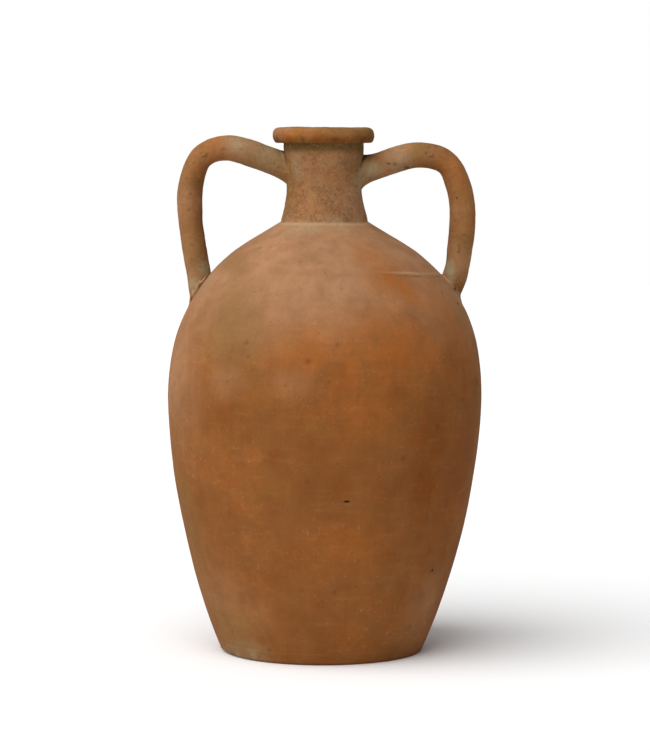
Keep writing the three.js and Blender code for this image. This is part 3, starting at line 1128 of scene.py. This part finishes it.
def wad_marks(side, end, ring, turn, spoke, t):
    """The crack and the pale smears of one ring of a wad, at t from the wall to the handle."""
    crack = smears = np.zeros(WAD_COLUMNS)
    if (side, end) == ("left", "shoulder"):
        front = np.clip(-spoke[:, 1] * 1.8, 0, 1)
        crack = front * bump_profile((t - 0.40 - 0.34 * dents(ring, 7 * MM)) / 0.26)
        flecks = np.clip(3 * crumble(ring, 2.4 * MM), 0, 1)
        smears = front * bump_profile((t - 0.74) / 0.26) * flecks
    if end == "neck":
        above = np.clip(np.cos(turn) * 1.6, 0, 1)
        crack = above * bump_profile((t - 0.35 - 0.2 * dents(ring, 8 * MM)) / 0.28)
    return crack, smears


def wad_masks(points, pits, edges):
    """Masks of a wad: the handle's and the wall's patches, and the wad's own marks."""
    masks = handle_masks(points)
    wall_masks = colour_masks(points)
    for name in ("dust_and_painted_light", "ash", "umber", "lichen"):
        masks[name] = np.maximum(masks[name], 0.8 * wall_masks[name])
    hidden = np.zeros(len(points) - len(pits) * WAD_COLUMNS)
    masks["pit_and_shade"] = np.maximum(np.concatenate([*pits, hidden]), handle_pits(points))
    masks["edge"] = np.concatenate([*edges, hidden])
    return masks


def wad(side, end):
    """Clay smoothed into the corner between a handle and the wall, all the way round."""
    lines, turn = wad_lines(side, end)
    bottom, corner, top, spoke, normal = wad_guides(lines, turn, WAD_REACH[side, end])
    outward = unit((top + bottom) / 2 - corner)
    rings, pits, edges = [], [], []
    for t in np.linspace(0, 1, WAD_ROWS):
        ring = (1 - t) ** 2 * bottom + 2 * t * (1 - t) * corner + t**2 * top
        rough = 0.55 * MM * dents(ring, 6 * MM) + 0.30 * MM * crumble(ring, 2.8 * MM)
        crack, smears = wad_marks(side, end, ring, turn, spoke, t)
        high = rough * np.sin(math.pi * t) - 1.5 * MM * crack
        seams = 0.25 * bump_profile((1 - t) / 0.06) + 0.2 * bump_profile(t / 0.05)
        rings.append(ring + outward * high[:, None])
        pits.append(np.clip(crack + seams, 0, 1))
        edges.append(smears)
    rings.append(top - spoke * 2.5 * MM)
    rings.append(corner - (normal + spoke) * 3 * MM)
    rings.append(bottom - normal * 2.5 * MM)
    rings = np.array(rings)
    masks = wad_masks(rings.reshape(-1, 3), pits, edges)
    return finished_loft(f"{side}_{end}_luting", rings, True, None, masks, "luting_clay")


# ---- the object


def build_pot():
    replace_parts(base_slab(), "base_slab")
    lower = pot_section("lower_body", FLOOR, BELLY_HEIGHT, FLOOR, BELLY_HEIGHT, "terracotta_wall")
    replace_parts(lower, "lower_wall")
    upper = pot_section("upper_body", BELLY_HEIGHT, SHOULDER_SEAM, BELLY_HEIGHT,
                        SHOULDER_SEAM - 5 * MM, "terracotta_wall")
    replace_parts(upper, "upper_wall")
    shoulder = pot_section("shoulder_cap", SHOULDER_SEAM, CREASE_HEIGHT, SHOULDER_SEAM - 5 * MM,
                           CREASE_HEIGHT - 5 * MM, "terracotta_wall", step=1.3 * MM)
    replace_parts(shoulder, "shoulder")
    neck = pot_section("neck_tube", CREASE_HEIGHT, NECK_TOP, CREASE_HEIGHT + 3 * MM, NECK_TOP,
                       "terracotta_neck", step=0.8 * MM, depth=NECK_WALL)
    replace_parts(neck, "neck")
    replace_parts(rim(), "rim")


def build_handles():
    for side in HANDLE_LINES:
        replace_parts(handle(side), f"{side}_handle")
        for end in ("neck", "shoulder"):
            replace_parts(wad(side, end), f"{side}_handle_{end}_wad")


# ---- floor, light and camera

# Lengths in metres, angles in degrees, the lens in millimetres
WORLD_LEFT = 0.55
WORLD_RIGHT = 0.28
SUN_SIDE = (-0.42, -0.44, 0.8)
SUN_STRENGTH = 2.9
SUN_SPREAD = 70
CAMERA_DISTANCE = 3.0
CAMERA_PITCH = 4.57
CAMERA_LENS = 148.8
FLOOR_RADIUS = 7.0
FLOOR_SIDES = 96

def stage_floor():
    """A pale floor disc that is much wider than the view."""
    mesh = bpy.data.meshes.new("floor")
    turn = np.arange(FLOOR_SIDES) / FLOOR_SIDES * TAU
    edge = FLOOR_RADIUS * np.stack([np.cos(turn), np.sin(turn), 0 * turn], axis=1)
    mesh.from_pydata(edge.tolist(), [], [list(range(FLOOR_SIDES))])
    floor = bpy.data.objects.new("floor", mesh)
    bpy.context.collection.objects.link(floor)
    material = bpy.data.materials.new("floor_paper")
    material.use_nodes = True
    shader = material.node_tree.nodes["Principled BSDF"]
    shader.inputs["Base Color"].default_value = (0.93, 0.93, 0.93, 1)
    shader.inputs["Roughness"].default_value = 1.0
    shader.inputs["Specular IOR Level"].default_value = 0.0
    mesh.materials.append(material)


def soft_sun(direction, strength, spread):
    """Even soft light from the side that the direction points to, with its spread in degrees."""
    light = bpy.data.lights.new("soft_light", "SUN")
    light.energy = strength
    light.angle = math.radians(spread)
    lamp = bpy.data.objects.new("soft_light", light)
    x, y, z = direction
    lamp.rotation_euler = (math.atan2(math.hypot(x, y), z), 0, math.atan2(x, -y))
    bpy.context.collection.objects.link(lamp)


def white_room():
    """A world that looks white and lights the pot a little less from the right."""
    world = bpy.data.worlds.new("white_room")
    bpy.context.scene.world = world
    world.use_nodes = True
    room = Nodes(world.node_tree)
    place = room.node("ShaderNodeTexCoord").outputs["Generated"]
    across = room.node("ShaderNodeSeparateXYZ", {0: place}).outputs["X"]
    fall = room.span(across, -1, 1, WORLD_LEFT, WORLD_RIGHT)
    seen = room.node("ShaderNodeLightPath").outputs["Is Camera Ray"]
    strength = room.node("ShaderNodeMix", {0: seen, 2: fall, 3: 1.0}).outputs[0]
    background = world.node_tree.nodes["Background"].inputs
    room.put(background["Color"], (1, 1, 1, 1))
    room.put(background["Strength"], strength)


def place_camera():
    """A long lens in front of the pot, level with its rim and looking slightly down."""
    data = bpy.data.cameras.new("camera")
    data.lens = CAMERA_LENS
    data.sensor_width = 36
    camera = bpy.data.objects.new("camera", data)
    camera.location = (0, -CAMERA_DISTANCE, HEIGHT)
    camera.rotation_euler = (math.radians(90 - CAMERA_PITCH), 0, 0)
    bpy.context.collection.objects.link(camera)
    bpy.context.scene.camera = camera


place_camera()
white_room()
stage_floor()
soft_sun(SUN_SIDE, SUN_STRENGTH, SUN_SPREAD)
build_pot()
build_handles()
bpy.context.scene.view_settings.view_transform = "Standard"
